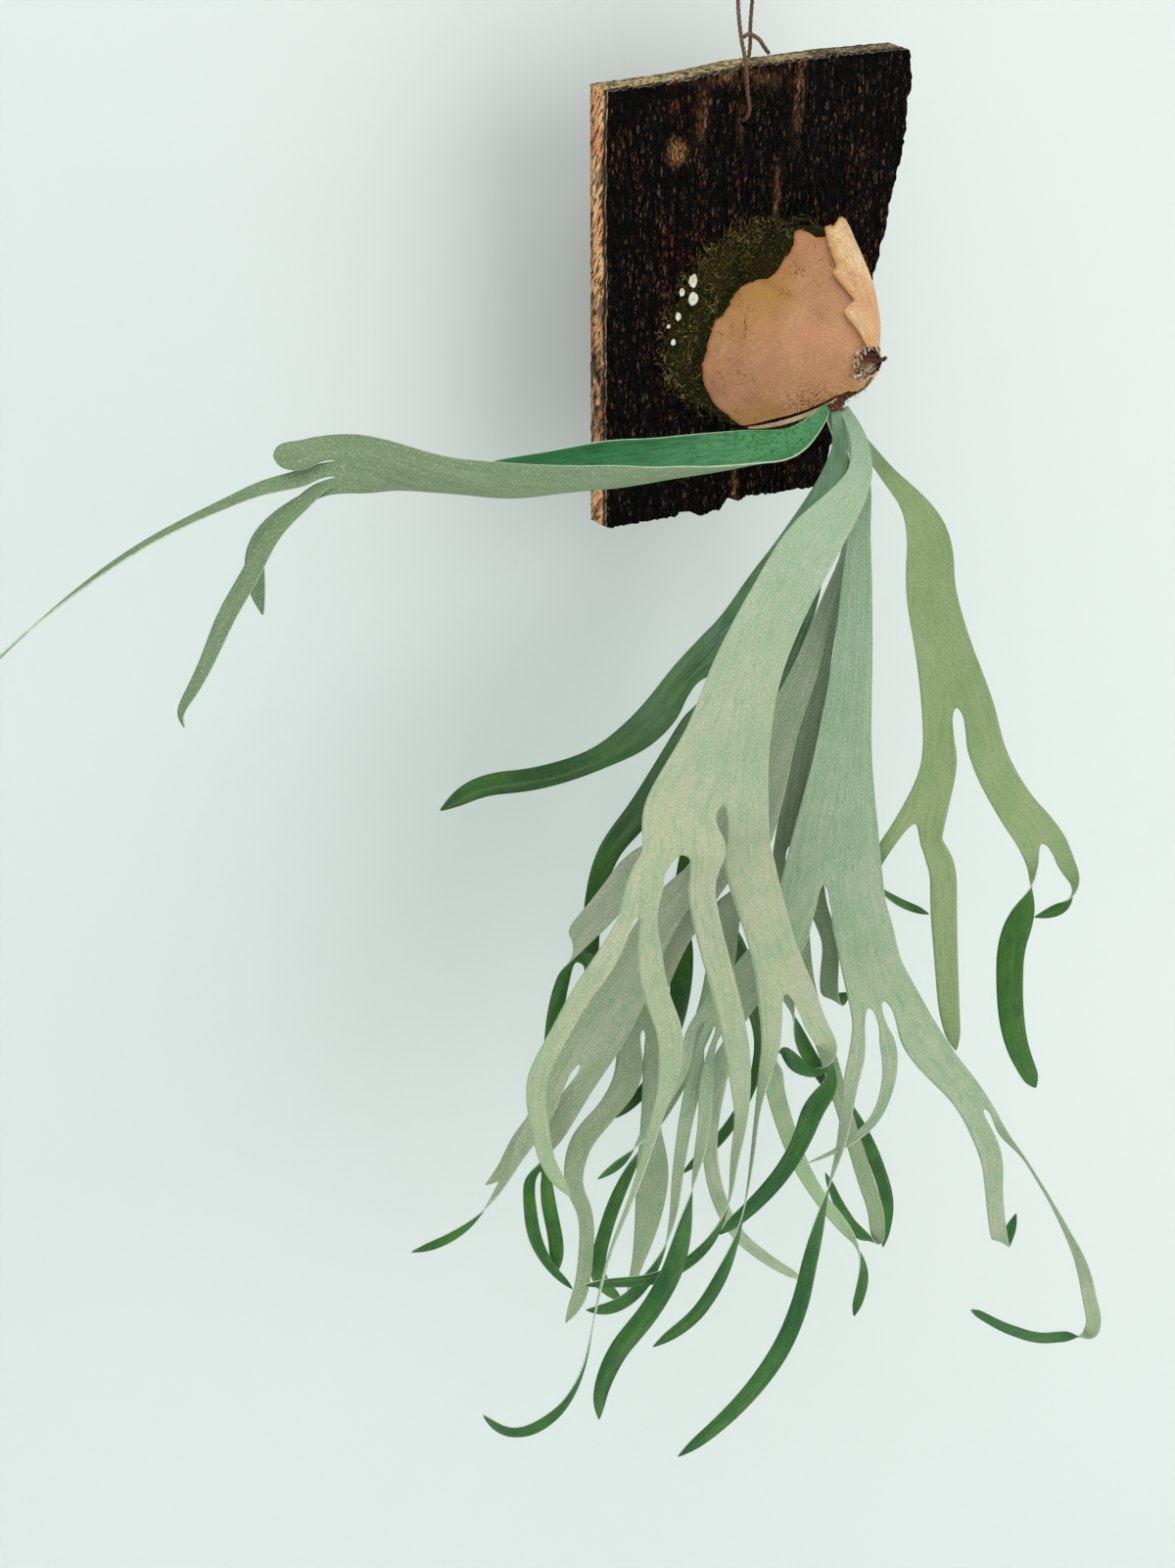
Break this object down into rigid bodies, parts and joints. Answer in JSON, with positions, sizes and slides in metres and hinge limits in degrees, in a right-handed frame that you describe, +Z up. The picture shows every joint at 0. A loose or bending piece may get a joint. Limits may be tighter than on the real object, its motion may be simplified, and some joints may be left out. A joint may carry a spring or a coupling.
{
  "type": "mounted staghorn fern",
  "caption": "Staghorn fern with papery shield fronds and long forked hanging fronds, grown on moss on a slab of bark, hung from a twine loop.",
  "frame": {"origin": "middle of the bark slab's flat back, where it rests on the wall", "axes": "+Y into the wall, -Y into the room, +Z up, +X to the right of someone who faces the plant"},
  "size_m": [0.7888, 0.2785, 1.0934],
  "materials": {
    "bark": "rough black-brown cork bark with pale sawn edges",
    "jute_twine": "natural laid twine, fuzzy",
    "moss": "damp living moss with fine roots",
    "rhizome_scales": "dry brown scales with papery edges",
    "dry_shield_frond": "dry papery veined leaf, satin",
    "fertile_frond": "leathery leaf, silvery felt of star hairs over green",
    "fungus": "small pale mushroom, moist satin"
  },
  "bodies": {
    "root": {"back_centre_frond": "fertile_frond", "back_left_frond": "fertile_frond", "back_right_frond": "fertile_frond", "bark_slab": "bark", "centre_frond": "fertile_frond", "growth_bud": "rhizome_scales", "hanging_twine": "jute_twine", "left_frond": "fertile_frond", "left_shield_frond": "dry_shield_frond", "moss_mound": "moss", "mushroom_1": "fungus", "mushroom_2": "fungus", "mushroom_3": "fungus", "mushroom_4": "fungus", "mushroom_5": "fungus", "mushroom_6": "fungus", "rhizome": "rhizome_scales", "right_centre_frond": "fertile_frond", "right_frond": "fertile_frond", "right_shield_frond": "dry_shield_frond", "twine_hitch": "jute_twine"}
  },
  "joints": []
}
